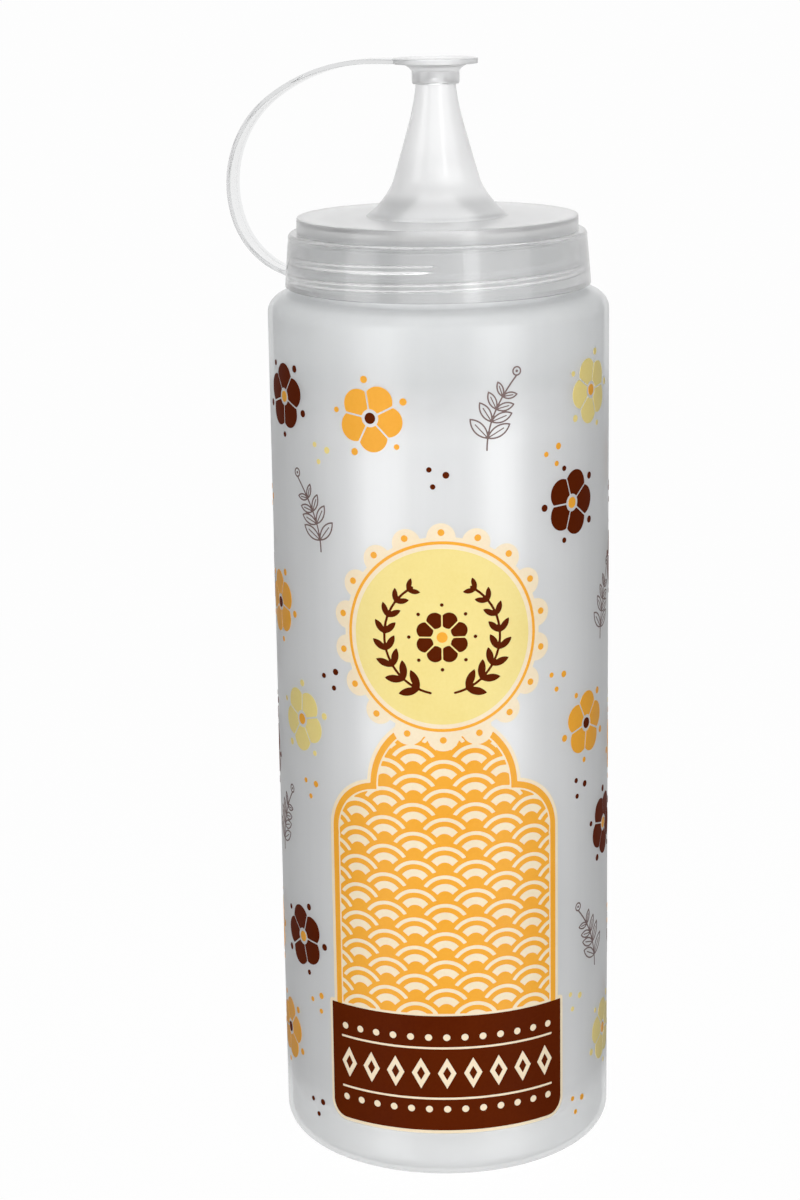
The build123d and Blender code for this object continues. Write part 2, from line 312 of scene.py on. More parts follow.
# --------------------------------------------------------------- floor and light
def build_stage():
    s = 14.0
    fl = new_mesh("studio_floor", [(-s, -s, 0), (s, -s, 0), (s, s, 0), (-s, s, 0)], [(0, 1, 2, 3)], smooth=False)
    fl.location.z = -0.0001
    m, nt, N, L = material("pale_floor")
    out = N.new("ShaderNodeOutputMaterial")
    tc = N.new("ShaderNodeTexCoord")
    # the sweep takes the faintest shadow round the base and fades to plain white further out
    away = N.new("ShaderNodeVectorMath")
    away.operation = "LENGTH"
    L.new(tc.outputs["Object"], away.inputs[0])
    near = ranged(N, L, away.outputs["Value"], 0.10, 0.55, 0.045, 0.0)
    em = N.new("ShaderNodeEmission")
    em.inputs["Color"].default_value = (1, 1, 1, 1)
    em.inputs["Strength"].default_value = POWER["floor"]
    df = N.new("ShaderNodeBsdfDiffuse")
    cc = N.new("ShaderNodeCombineColor")
    for k in range(3):
        L.new(near, cc.inputs[k])
    L.new(cc.outputs[0], df.inputs["Color"])
    ad = N.new("ShaderNodeAddShader")
    L.new(em.outputs[0], ad.inputs[0])
    L.new(df.outputs[0], ad.inputs[1])
    L.new(ad.outputs[0], out.inputs["Surface"])
    fl.data.materials.append(m)
    fl.visible_diffuse = False
    fl.visible_glossy = False
    fl.visible_shadow = False
    return fl


def softbox(name, az, dist, wide, z0, z1, watts, gloss=True, diffuse=True, through=True, lights=None):
    """An upright softbox at azimuth az (0 is the front, positive to the right), facing the bottle's axis. lights is the group of objects it lights."""
    a = math.radians(az)
    li = bpy.data.lights.new(name, "AREA")
    li.shape = "RECTANGLE"
    li.size, li.size_y = wide, z1 - z0
    li.energy = watts
    ob = bpy.data.objects.new(name, li)
    p = Vector((math.sin(a) * dist, -math.cos(a) * dist, (z0 + z1) / 2))
    ob.location = p
    ob.rotation_euler = (Vector((0, 0, p.z)) - p).to_track_quat("-Z", "Y").to_euler()
    ob.visible_glossy = gloss
    ob.visible_diffuse = diffuse
    ob.visible_transmission = through
    ob.visible_camera = False
    collection_add(ob)
    if lights:
        group = bpy.data.collections.new(name + "_lights")
        for o in lights:
            group.objects.link(o)
        ob.light_linking.receiver_collection = group
    return ob


def overhead(name, size, watts, lights):
    """A softbox hung over the bottle, facing down."""
    li = bpy.data.lights.new(name, "AREA")
    li.size = size
    li.energy = watts
    ob = bpy.data.objects.new(name, li)
    ob.location = (0, 0, 1.6)
    ob.visible_camera = False
    collection_add(ob)
    group = bpy.data.collections.new(name + "_lights")
    for o in lights:
        group.objects.link(o)
    ob.light_linking.receiver_collection = group


POWER = {"gl": 26.0, "gr": 28.0, "cl": 7.5, "cr": 6.0, "c0": 38.5, "ct": 27.0, "d0": 21.6, "dr": 5.7, "db": 28.0, "top": 8.5, "world": 0.07, "floor": 0.984}


def build_light():
    # the strap takes its light from the studio round it alone
    caps = [bpy.data.objects[n] for n in ("closure", "tip_lid")]
    rest = [bpy.data.objects["bottle_wall"], NODES["sealing_washer"]] + [o for o in bpy.data.objects if o.name.startswith("print_")]
    softbox("softbox_left", -41, 1.6, 0.85, -0.9, 1.1, POWER["gl"], diffuse=False, lights=rest)
    softbox("softbox_right", 41, 1.6, 0.75, -0.9, 1.1, POWER["gr"], diffuse=False, lights=rest)
    softbox("strip_left", -59, 1.6, 0.74, -0.5, 1.1, POWER["cl"], diffuse=False, through=False, lights=caps)
    softbox("strip_right", 25, 1.6, 0.34, -0.5, 1.1, POWER["cr"], diffuse=False, through=False, lights=caps)
    softbox("wide_front", 22, 1.6, 4.0, -0.5, 1.5, POWER["c0"], through=False, lights=caps)
    softbox("fill_front", -6, 1.6, 0.7, -0.3, 1.1, POWER["d0"], gloss=False, lights=rest)
    softbox("fill_right", 32, 1.6, 0.6, -0.3, 1.1, POWER["dr"], gloss=False, lights=rest)
    softbox("fill_back", 180, 1.6, 0.7, -0.3, 1.1, POWER["db"], gloss=False, lights=rest)
    overhead("softbox_top", 1.2, POWER["top"], rest)
    overhead("cap_top", 1.6, POWER["ct"], caps)
    w = bpy.data.worlds.new("studio")
    bpy.context.scene.world = w
    w.use_nodes = True
    w.cycles.sampling_method = "NONE"
    nt = w.node_tree
    N, L = nt.nodes, nt.links
    N.clear()
    out = N.new("ShaderNodeOutputWorld")
    lp = N.new("ShaderNodeLightPath")
    # what the plastic mirrors and bends: a white studio above the table, darker below its edge
    tc = N.new("ShaderNodeTexCoord")
    xyz = N.new("ShaderNodeSeparateXYZ")
    L.new(tc.outputs["Generated"], xyz.inputs[0])
    seen = ranged(N, L, xyz.outputs["Z"], -0.10, 0.02, 0.85, 0.99)
    sharp = math2(N, L, "MAXIMUM", lp.outputs["Is Glossy Ray"], lp.outputs["Is Transmission Ray"])
    strength = math2(N, L, "ADD", POWER["world"], math2(N, L, "MULTIPLY", sharp, math2(N, L, "SUBTRACT", seen, POWER["world"])))
    strength = math2(N, L, "MAXIMUM", strength, lp.outputs["Is Camera Ray"])
    bg = N.new("ShaderNodeBackground")
    bg.inputs["Color"].default_value = (1, 1, 1, 1)
    L.new(strength, bg.inputs["Strength"])
    L.new(bg.outputs[0], out.inputs["Surface"])


# ------------------------------------------------------------------------ camera
def build_camera():
    d, hc, pitch, yaw, roll, f = 0.6399, 0.29255, 0.2445, -0.0157, -0.0154, 2736.7
    fwd = Vector((math.sin(yaw) * math.cos(pitch), math.cos(yaw) * math.cos(pitch), -math.sin(pitch)))
    right = fwd.cross(Vector((0, 0, 1))).normalized()
    up = right.cross(fwd)
    r2 = right * math.cos(roll) + up * math.sin(roll)
    u2 = -right * math.sin(roll) + up * math.cos(roll)
    cam = bpy.data.cameras.new("camera")
    cam.sensor_fit = "AUTO"
    cam.sensor_width = 36.0
    cam.lens = 36.0 * f / 1200.0
    cam.clip_start, cam.clip_end = 0.01, 60
    ob = bpy.data.objects.new("camera", cam)
    m = Matrix((r2, u2, -fwd)).transposed().to_4x4()
    m.translation = Vector((0, -d, hc))
    ob.matrix_world = m
    collection_add(ob)
    bpy.context.scene.camera = ob


# ------------------------------------------------------- moulded parts, turned and threaded
def polar(cx, cz, r, a):
    return (cx + r * math.cos(math.radians(a)), cz + r * math.sin(math.radians(a)))


def corner(cx, cz, r, a0, a1):
    """An arc step about (cx, cz) from angle a0 to a1."""
    return ("arc", polar(cx, cz, r, (a0 + a1) / 2), polar(cx, cz, r, a1))


def outline(points, arc_deg=7.0):
    """(r, z) points along ("line", end), ("rows", end, spacing) and ("arc", mid, end) steps."""
    out = [points[0]]
    for step in points[1:]:
        p = out[-1]
        if step[0] == "line":
            out.append(step[1])
        elif step[0] == "rows":
            q = step[1]
            n = max(1, round(math.dist(p, q) / step[2]))
            out.extend((p[0] + (q[0] - p[0]) * i / n, p[1] + (q[1] - p[1]) * i / n) for i in range(1, n + 1))
        else:
            m, q = step[1], step[2]
            ax, ay, bx, by, cx, cy = *p, *m, *q
            d = 2 * (ax * (by - cy) + bx * (cy - ay) + cx * (ay - by))
            ux = ((ax**2 + ay**2) * (by - cy) + (bx**2 + by**2) * (cy - ay) + (cx**2 + cy**2) * (ay - by)) / d
            uy = ((ax**2 + ay**2) * (cx - bx) + (bx**2 + by**2) * (ax - cx) + (cx**2 + cy**2) * (bx - ax)) / d
            r = math.dist((ux, uy), p)
            a0, a1, am = (math.atan2(t[1] - uy, t[0] - ux) for t in (p, q, m))
            turn = (a1 - a0) % (2 * math.pi)
            if (am - a0) % (2 * math.pi) > turn:
                turn -= 2 * math.pi
            n = max(3, math.ceil(abs(math.degrees(turn)) / arc_deg), math.ceil(abs(turn) * r / 2.0))
            out.extend((ux + r * math.cos(a0 + turn * i / n), uy + r * math.sin(a0 + turn * i / n)) for i in range(1, n + 1))
    return out


def smooth01(x):
    x = np.clip(x, 0, 1)
    return x * x * (3 - 2 * x)


def thread(theta, z, start_deg, z_start, turns):
    """0..1 height of a single-start right-hand ridge at angle theta (degrees) and height z, fading in and out at its ends."""
    out = np.zeros(np.broadcast(theta, z).shape)
    for k in range(3):
        a = (theta - start_deg) % 360 + 360 * k
        zc = z_start + 4.2 * a / 360
        h = 1 - smooth01((np.abs(z - zc) - 0.30) / 0.78)
        h = h * smooth01(a / 16) * smooth01((360 * turns - a) / 16)
        out = np.maximum(out, h)
    return out


def lathe(name, points, body, node, mat, cols=240, move=None, extra=()):
    """A turned part. points is its (r, z) outline in mm; move(theta, r, z, row) gives how far each point is moved outwards and upwards."""
    pts = np.array(points)
    th = np.concatenate([np.arange(cols) * 360.0 / cols, np.array(extra, float) % 360])
    th = np.unique(np.round(th, 5))
    nc = len(th)
    rr = np.repeat(pts[:, 0:1], nc, 1)
    zz = np.repeat(pts[:, 1:2], nc, 1)
    if move is not None:
        dr, dz = move(np.repeat(th[None, :], len(pts), 0), rr, zz)
        on_axis = pts[:, 0] < 1e-6
        dr[on_axis] = 0
        if on_axis.any():
            dz[on_axis] = dz[on_axis].mean()
        rr, zz = rr + dr, zz + dz
    verts, index = [], []
    ct, st = np.cos(np.radians(th)), np.sin(np.radians(th))
    for i in range(len(pts)):
        if pts[i, 0] < 1e-6:
            index.append([len(verts)] * nc)
            verts.append((0.0, 0.0, zz[i, 0] / 1000))
        else:
            index.append(list(range(len(verts), len(verts) + nc)))
            verts.extend(zip(rr[i] * ct / 1000, rr[i] * st / 1000, zz[i] / 1000))
    faces = []
    axis_ends = pts[0, 0] < 1e-6 and pts[-1, 0] < 1e-6
    for i in range(len(pts) - 1 if axis_ends else len(pts)):
        a, b = index[i], index[(i + 1) % len(pts)]
        for j in range(nc):
            k = (j + 1) % nc
            f = []
            for v in (a[j], a[k], b[k], b[j]):
                if v not in f:
                    f.append(v)
            faces.append(f)
    ob = new_mesh(name, verts, faces)
    # crisp only where the outline itself turns a corner
    crisp = set()
    n = len(pts)
    for i in range(n):
        if pts[i, 0] < 1e-6:
            continue
        a, b = pts[i] - pts[i - 1], pts[(i + 1) % n] - pts[i]
        turn = abs(math.degrees(math.atan2(a[0] * b[1] - a[1] * b[0], a[0] * b[0] + a[1] * b[1])))
        if turn > 17:
            crisp.update(frozenset((index[i][j], index[i][(j + 1) % nc])) for j in range(nc))
    bm = bmesh.new()
    bm.from_mesh(ob.data)
    bmesh.ops.recalc_face_normals(bm, faces=bm.faces)
    for e in bm.edges:
        e.smooth = frozenset((e.verts[0].index, e.verts[1].index)) not in crisp
    bm.to_mesh(ob.data)
    bm.free()
    ob.data.materials.append(mat)
    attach(ob, body)
    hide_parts(node)
    return ob


SEAM_COLUMNS = [c + math.degrees(d / 40.0) for c in (0, 180) for d in (-0.75, -0.5, -0.33, -0.2, -0.1, 0.1, 0.2, 0.33, 0.5, 0.75)]


def seam(theta, r):
    """Height in mm of the mould's parting line, which runs up both sides of the wall."""
    d = np.abs((theta + 90) % 180 - 90)
    return 0.055 * np.exp(-((np.radians(d) * r / 0.24) ** 2))


def build_bottle():
    ri = 38.9
    pts = outline([
        (0, 2.4),
        ("rows", (22.0, 2.4), 1.6),
        corner(22.0, -9.6, 12.0, 90, 60),
        ("line", polar(29.9, 2.0, 2.0, -120)),
        corner(29.9, 2.0, 2.0, -120, -90),
        ("line", (35.0, 0)),
        corner(35.0, 5.0, 5.0, -90, 0),
        ("rows", (40.0, 203.1), 9.0),
        corner(35.5, 203.1, 4.5, 0, 90),
        ("line", (32.8, 207.6)),
        corner(32.8, 208.4, 0.8, -90, -180),
        ("rows", (32.0, 219.5), 0.11),
        corner(31.6, 219.5, 0.4, 0, 90),
        ("line", (30.9, 219.9)),
        ("line", (30.9, 222.2)),
        corner(30.55, 222.2, 0.35, 0, 90),
        ("line", (29.6, 222.55)),
        ("line", (29.6, 207.7)),
        ("arc", (29.88, 206.8), (30.8, 206.5)),
        ("line", (35.5, 206.5)),
        corner(35.5, 203.1, 3.4, 90, 0),
        ("rows", (ri, 5.0), 20.0),
        corner(35.0, 5.0, 3.9, 0, -90),
        ("line", (29.9, 1.1)),
        corner(29.9, 2.0, 0.9, -90, -120),
        ("line", polar(22.0, -9.6, 13.1, 60)),
        corner(22.0, -9.6, 13.1, 60, 90),
        ("line", (0, 3.5)),
    ])

    def move(th, r, z):
        outer = (np.abs(r - 32.0) < 1e-6) & (z > 209.0) & (z < 219.4)
        dr = np.where(outer, 1.15 * thread(th, z, 25.0, 211.3, 1.25), 0.0)
        skin = ((r > 39.99) & (z > 4.9)) | ((r > 35.5) & (z > 203.1) & (np.hypot(r - 35.5, z - 203.1) > 4.4))
        dr = dr + np.where(skin, seam(th, r), 0.0)
        # the pinch-off weld across the raised middle of the base
        under = (z < 2.45) & (r < 22.5)
        y = np.abs(r * np.sin(np.radians(th)))
        weld = 0.45 * np.exp(-((y / 0.42) ** 2)) * smooth01((21.0 - r) / 3.0)
        dz = np.where(under, -weld, 0.0)
        return dr, dz

    return lathe("bottle_wall", pts, "bottle", "bottle_body", MAT_BODY, 240, move, SEAM_COLUMNS)


def build_closure():
    zi = 223.9
    pts = outline([
        (34.0, 209.2),
        ("line", (35.5, 209.2)),
        corner(35.5, 209.45, 0.25, -90, 0),
        ("arc", (35.25, 216.0), (34.85, 220.4)),
        ("arc", (34.72, 221.2), (34.3, 221.6)),
        ("line", (32.84, 221.6)),
        ("line", (32.84, 224.8)),
        corner(32.44, 224.8, 0.4, 0, 90),
        ("line", (16.6, 225.2)),
        ("arc", (12.95, 228.6), (10.25, 232.9)),
        ("arc", (8.05, 240.3), (6.0, 247.6)),
        ("arc", (5.02, 252.2), (4.62, 255.3)),
        ("line", (4.3, 258.05)),
        ("arc", (4.16, 258.3), (3.9, 258.4)),
        ("line", (1.75, 258.4)),
        ("line", (1.75, 256.8)),
        ("line", (2.9, 256.1)),
        ("line", (3.45, 255.3)),
        ("arc", (3.87, 252.0), (4.85, 247.4)),
        ("arc", (6.9, 240.0), (9.1, 232.5)),
        ("arc", (11.9, 227.9), (15.4, zi)),
        ("line", (31.4, zi)),
        ("line", (31.4, 220.6)),
        ("line", (33.5, 220.6)),
        ("rows", (33.5, 210.2), 0.11),
    ])

    def move(th, r, z):
        inner = (np.abs(r - 33.5) < 1e-6) & (z > 210.25) & (z < 220.5)
        dr = np.where(inner, -1.15 * thread(th, z, 185.0, 211.4167, 1.25), 0.0)
        return dr, np.zeros_like(dr)

    return lathe("closure", pts, "cap", "screw_cap", MAT_CAP, 240, move)


def build_tip():
    zd = 259.85
    pts = outline([
        (0, 260.85),
        ("line", (5.5, 260.85)),
        ("line", (6.7, 261.1)),
        ("line", (9.5, 261.1)),
        corner(9.5, 260.8, 0.3, 90, 0),
        ("line", (9.8, zd + 0.2)),
        corner(9.6, zd + 0.2, 0.2, 0, -90),
        ("line", (8.6, zd)),
        ("arc", (6.75, zd - 0.5), (5.5, zd - 1.65)),
        ("line", (5.5, 255.7)),
        ("line", (5.25, 255.3)),
        ("line", (4.95, 255.3)),
        ("line", (4.6, 258.6)),
        ("line", (1.5, 258.6)),
        ("line", (1.5, 257.2)),
        ("line", (1.2, 256.9)),
        ("line", (0, 256.9)),
    ])
    return lathe("tip_lid", pts, "tip", "tip_cap", MAT_TIP, 128)


# ------------------------------------------------------------- the strap, one ribbon
STRAP_TURN = math.radians(15.5)
STRAP_ARCS = [(42.79, 36.34), (25.56, 71.19), (19.26, 57.50)]


def strap_line(step=0.9):
    """Points (s, z, heading) along the strap's centre line in mm, from the lid's edge round to the skirt; s is the distance from the axis."""
    pts = [(9.4 + i * (14.4 - 9.4) / 5, 260.4, 0.0) for i in range(5)]
    s, z, h = 14.4, 260.4, 0.0
    for r, deg in STRAP_ARCS:
        n = max(4, int(r * math.radians(deg) / step))
        cx, cz = s + r * math.sin(h), z - r * math.cos(h)
        for i in range(n):
            a = h - math.radians(deg) * i / n
            pts.append((cx - r * math.sin(a), cz + r * math.cos(a), a))
        h -= math.radians(deg)
        s, z = cx - r * math.sin(h), cz + r * math.cos(h)
    run = (s - 35.9) / -math.cos(h)
    n = max(3, int(run / 0.6))
    for i in range(n + 1):
        pts.append((s + run * i / n * math.cos(h), z + run * i / n * math.sin(h), h))
    return pts


def strap_section():
    """Outline of the strap's section as (across, through), each -1..1 of its half width and half thickness less the corner, plus the corner's own offset."""
    rc = 0.42
    out = []
    for sx, sy, a0 in ((1, 1, 0), (-1, 1, 90), (-1, -1, 180), (1, -1, 270)):
        for k in range(6):
            a = math.radians(a0 + 18 * k)
            out.append((sx, sy, rc * math.cos(a), rc * math.sin(a)))
        # across the broad face, or up the narrow one, to the next corner
        if sy * sx > 0:
            for x in (0.97, 0.8, 0.4, 0.0, -0.4, -0.8, -0.97):
                out.append((x * sx, sy, 0.0, rc * sy))
    return out, rc


def build_strap():
    pts = strap_line()
    section, rc = strap_section()
    n_ring = len(section)
    total = len(pts)
    length = [0.0]
    for p, q in zip(pts, pts[1:]):
        length.append(length[-1] + math.hypot(q[0] - p[0], q[1] - p[1]))
    ct, st = math.cos(STRAP_TURN), math.sin(STRAP_TURN)
    verts, faces = [], []
    for k, (s, z, h) in enumerate(pts):
        from_lid, from_skirt = length[k], length[-1] - length[k]
        # a soft flare into the lid and a thicker root on the skirt
        flare = 1.7 * math.exp(-((from_lid / 1.6) ** 2)) + 1.2 * math.exp(-((from_skirt / 1.5) ** 2))
        root = 0.55 * math.exp(-((from_skirt / 1.3) ** 2))
        # the edges carry a bead, as a moulded strap's do, and the middle is a hair thinner
        half_w, half_t = 3.5 + flare / 2, 0.55 + root
        for fx, fy, ox, oy in section:
            w = fx * (half_w - rc) + ox
            dish = 0.13 * (1 - min(1.0, abs(w) / (half_w - rc)) ** 4) * (1 - math.exp(-((from_lid / 3) ** 2))) * (1 - math.exp(-((from_skirt / 3) ** 2)))
            t = fy * (half_t - rc) + oy
            t -= math.copysign(dish, t) if abs(fx) < 1 else 0.0
            ps, pz = s - t * math.sin(h), z + t * math.cos(h)
            # both ends are cut to the round they join
            if k < 4:
                ps += (math.sqrt(9.78**2 - w**2) - pts[0][0]) * (1 - k / 4)
            near = smooth01(1 - from_skirt / 3.6)
            last = pts[-1]
            ps += (math.sqrt(35.60**2 - w * w) - last[0] + t * math.sin(last[2])) * float(near)
            # w runs across the strap, at right angles to its plane
            x = -ps * ct + w * st
            y = ps * st + w * ct
            verts.append((x / 1000, y / 1000, pz / 1000))
    for k in range(total - 1):
        for j in range(n_ring):
            a, b = k * n_ring + j, k * n_ring + (j + 1) % n_ring
            faces.append((a, b, b + n_ring, a + n_ring))
    faces.append(tuple(reversed(range(n_ring))))
    faces.append(tuple((total - 1) * n_ring + j for j in range(n_ring)))
    ob = new_mesh("strap", verts, faces)
    bm = bmesh.new()
    bm.from_mesh(ob.data)
    bmesh.ops.triangulate(bm, faces=[f for f in bm.faces if len(f.verts) > 4])
    bmesh.ops.recalc_face_normals(bm, faces=bm.faces)
    bm.to_mesh(ob.data)
    bm.free()
    ob.data.materials.append(MAT_STRAP)

    def at(s, z):
        return (-s * ct / 1000, s * st / 1000, z / 1000)

    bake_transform(ob)
    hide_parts("strap_lower", "strap_upper")
    return ob


# ----------------------------------------------------------- printed ink on the wall
# Every colour is a thin closed film wrapped round the wall. Shapes are drawn as signed
# distances in mm on the unrolled wall: u runs round it from the front, v is the height.
R = 40.0


def trace(f, h=0.2):
    """Closed outlines of f < 0 on a grid of spacing h. f is (function, u0, u1, v0, v1), positive all round its window."""
    fn, u0, u1, v0, v1 = f
    us = np.arange(u0, u1 + h, h)
    vs = np.arange(v0, v1 + h, h)
    U, V = np.meshgrid(us, vs)
    F = fn(U, V)
    F[[0, -1], :] = np.maximum(F[[0, -1], :], 0.05)
    F[:, [0, -1]] = np.maximum(F[:, [0, -1]], 0.05)
    F = np.where(np.abs(F) < 1e-7, 1e-7, F)
    inside = F < 0
    ny, nx = F.shape
    # crossing points on the horizontal and vertical grid edges
    a, b = F[:, :-1], F[:, 1:]
    hx = inside[:, :-1] != inside[:, 1:]
    with np.errstate(divide="ignore", invalid="ignore"):
        hu = U[:, :-1] + h * a / (a - b)
        c, d = F[:-1, :], F[1:, :]
        vv = V[:-1, :] + h * c / (c - d)
    vx = inside[:-1, :] != inside[1:, :]
    code = (
        inside[:-1, :-1] * 1 + inside[:-1, 1:] * 2 + inside[1:, 1:] * 4 + inside[1:, :-1] * 8
    )
    cells = np.argwhere((code > 0) & (code < 15))
    # edges of a cell: 0 bottom, 1 right, 2 top, 3 left; each pair runs with the inside on its left
    table = {
        1: [(0, 3)], 2: [(1, 0)], 3: [(1, 3)], 4: [(2, 1)], 5: [(0, 1), (2, 3)], 6: [(2, 0)], 7: [(2, 3)],
        8: [(3, 2)], 9: [(0, 2)], 10: [(1, 2), (3, 0)], 11: [(1, 2)], 12: [(3, 1)], 13: [(0, 1)], 14: [(3, 0)],
    }

    def key(i, j, e):
        if e == 0:
            return (0, i, j)
        if e == 1:
            return (1, i, j + 1)
        if e == 2:
            return (0, i + 1, j)
        return (1, i, j)

    nxt = {}
    for i, j in cells:
        i, j = int(i), int(j)
        for e0, e1 in table[int(code[i, j])]:
            nxt[key(i, j, e0)] = key(i, j, e1)

    def point(k):
        kind, i, j = k
        return (hu[i, j], vs[i]) if kind == 0 else (us[j], vv[i, j])

    loops, seen = [], set()
    for k0 in nxt:
        if k0 in seen:
            continue
        loop, k = [], k0
        while k not in seen and k in nxt:
            seen.add(k)
            loop.append(point(k))
            k = nxt[k]
        if len(loop) >= 8:
            loops.append(np.array(loop))
    return loops


def eased(loop, tol, longest):
    """A closed outline with fewer points: a point is dropped while the line stays within tol of it and no edge is longer than longest."""
    n = len(loop)
    keep = [0]
    i = 0
    while i < n:
        best = i + 1
        j = i + 2
        while j <= n:
            p, q = loop[i % n], loop[j % n]
            e = q - p
            le = math.hypot(*e)
            if le > longest:
                break
            mid = loop[i + 1 : j]
            if le < 1e-9:
                break
            dist = np.abs((mid[:, 0] - p[0]) * e[1] - (mid[:, 1] - p[1]) * e[0]) / le
            if dist.max() > tol:
                break
            best = j
            j += 1
        i = best
        if i < n:
            keep.append(i)
    out = loop[keep]
    return out if len(out) >= 3 else loop


def film_parts(f, h, out):
    """Adds the triangles of one drawn shape, as flat (points, triangles)."""
    fn, u0, u1, v0, v1 = f
    loops = trace(f, h)
    if not loops:
        return
    pts, edges = [], []
    for lp in loops:
        lp = eased(lp, 0.012, 1.6)
        n0 = len(pts)
        pts.extend((float(p[0]), float(p[1])) for p in lp)
        edges.extend((n0 + k, n0 + (k + 1) % len(lp)) for k in range(len(lp)))
    # points inside, so that no triangle is wide enough to cut into the round wall
    g = 2.0
    U, V = np.meshgrid(np.arange(u0 + g / 2, u1, g), np.arange(v0 + g / 2, v1, g))
    F = fn(U, V)
    for u, v in zip(U[F < -0.5], V[F < -0.5]):
        pts.append((float(u), float(v)))
    res = geometry.delaunay_2d_cdt([Vector(p) for p in pts], edges, [], 0, 1e-5)
    co = np.array([(c[0], c[1]) for c in res[0]])
    tris = np.array([tuple(t) for t in res[2]])
    # a triangle is kept where a line from its middle crosses the outlines an odd number of times
    seg = np.array([(*pts[a], *pts[b]) for a, b in edges])
    mid = co[tris].mean(1)
    odd = np.zeros(len(mid), bool)
    for k in range(0, len(mid), 2000):
        x, y = mid[k : k + 2000, 0:1], mid[k : k + 2000, 1:2]
        cross = (seg[:, 1] > y) != (seg[:, 3] > y)
        with np.errstate(divide="ignore", invalid="ignore"):
            at = seg[:, 0] + (y - seg[:, 1]) / (seg[:, 3] - seg[:, 1]) * (seg[:, 2] - seg[:, 0])
        odd[k : k + 2000] = ((cross & (at > x)).sum(1) % 2) == 1
    out.append(([tuple(c) for c in co], [tuple(int(i) for i in t) for t in tris[odd]]))


def film(name, shapes, proud, mat, h=0.2):
    """One ink: all its shapes as one closed film, proud mm thick over the wall."""
    parts = []
    for f in shapes:
        film_parts(f, h, parts)
    verts, faces = [], []
    for co, tris in parts:
        n0, n = len(verts), len(co)
        for rr in (R + proud, R - 0.04):
            for u, v in co:
                a = u / R
                # u = 0 is the front, and the parting lines are a quarter turn to each side
                q = rr + (float(seam(math.degrees(a) - 90, R)) if rr > R else 0.0)
                verts.append((q * math.sin(a) / 1000, -q * math.cos(a) / 1000, v / 1000))
        count = {}
        for t in tris:
            p, q, r = (co[i] for i in t)
            if (q[0] - p[0]) * (r[1] - p[1]) - (q[1] - p[1]) * (r[0] - p[0]) < 0:
                t = (t[0], t[2], t[1])
            faces.append(tuple(n0 + i for i in t))
            faces.append(tuple(n0 + n + i for i in reversed(t)))
            for k in range(3):
                count[(t[k], t[(k + 1) % 3])] = True
        for i, j in count:
            if (j, i) not in count:
                faces.append((n0 + j, n0 + i, n0 + n + i, n0 + n + j))
    ob = new_mesh(name, verts, faces, smooth=False)
    bm = bmesh.new()
    bm.from_mesh(ob.data)
    bmesh.ops.delete(bm, geom=[v for v in bm.verts if not v.link_faces], context="VERTS")
    # the broad outer faces are shaded round, and the film's thin rim stays crisp
    for fc in bm.faces:
        c = fc.calc_center_median()
        nr = Vector((c.x, c.y, 0)).normalized()
        fc.smooth = abs(fc.normal.dot(nr)) > 0.7
    for e in bm.edges:
        e.smooth = len({f.smooth for f in e.link_faces}) == 1
    bm.to_mesh(ob.data)
    bm.free()
    ob.data.materials.append(mat)
    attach(ob, "bottle")
    return ob


# signed distances
def disc(u, v, r):
    return lambda U, V: np.hypot(U - u, V - v) - r


def ring(u, v, r, w):
    return lambda U, V: np.abs(np.hypot(U - u, V - v) - r) - w / 2


def slab(u, v, a, b, r=0.0):
    """Rectangle of half sizes a and b with corners rounded by r."""
    def f(U, V):
        x, y = np.abs(U - u) - (a - r), np.abs(V - v) - (b - r)
        return np.hypot(np.maximum(x, 0), np.maximum(y, 0)) + np.minimum(np.maximum(x, y), 0) - r
    return f


def either(*fs):
    def f(U, V):
        out = fs[0](U, V)
        for g in fs[1:]:
            out = np.minimum(out, g(U, V))
        return out
    return f


def both(*fs):
    def f(U, V):
        out = fs[0](U, V)
        for g in fs[1:]:
            out = np.maximum(out, g(U, V))
        return out
    return f


def without(f0, g0):
    return lambda U, V: np.maximum(f0(U, V), -g0(U, V))


def grown(f0, d):
    return lambda U, V: f0(U, V) - d


def line_of(f0, w):
    return lambda U, V: np.abs(f0(U, V)) - w / 2


def leaf(u, v, length, width, angle, bend=0.0):
    """A pointed leaf from (u, v) in the direction angle."""
    r = (length * length / 4 + width * width / 4) / width
    ca, sa = math.cos(angle), math.sin(angle)
    def f(U, V):
        x = (U - u) * ca + (V - v) * sa - length / 2
        y = -(U - u) * sa + (V - v) * ca - bend * (1 - (2 * x / length) ** 2)
        return np.maximum(np.hypot(x, y - (r - width / 2)) - r, np.hypot(x, y + (r - width / 2)) - r)
    return f


def stroke(points, w):
    """A line of width w through the points, with round ends."""
    def f(U, V):
        out = None
        for (x0, y0), (x1, y1) in zip(points, points[1:]):
            dx, dy = x1 - x0, y1 - y0
            t = np.clip(((U - x0) * dx + (V - y0) * dy) / (dx * dx + dy * dy + 1e-12), 0, 1)
            d = np.hypot(U - x0 - t * dx, V - y0 - t * dy)
            out = d if out is None else np.minimum(out, d)
        return out - w / 2
    return f


def petals(u, v, r, n, turn, fat=0.46, reach=0.56):
    """A blossom of n round petals, parted by narrow gaps."""
    parts = []
    for k in range(n):
        a = turn + 2 * math.pi * k / n
        parts.append(disc(u + reach * r * math.cos(a), v + reach * r * math.sin(a), fat * r))
    gaps = []
    for k in range(n):
        a = turn + 2 * math.pi * (k + 0.5) / n
        gaps.append(stroke([(u, v), (u + 1.2 * r * math.cos(a), v + 1.2 * r * math.sin(a))], 0.055 * r))
    return without(without(either(*parts), either(*gaps)), disc(u, v, 0.27 * r))


INK = {"cream": [], "caramel": [], "brown": [], "yellow": [], "line": []}


def draw(ink, fn, u, v, ru, rv=None):
    rv = ru if rv is None else rv
    INK[ink].append((fn, u - ru, u + ru, v - rv, v + rv))


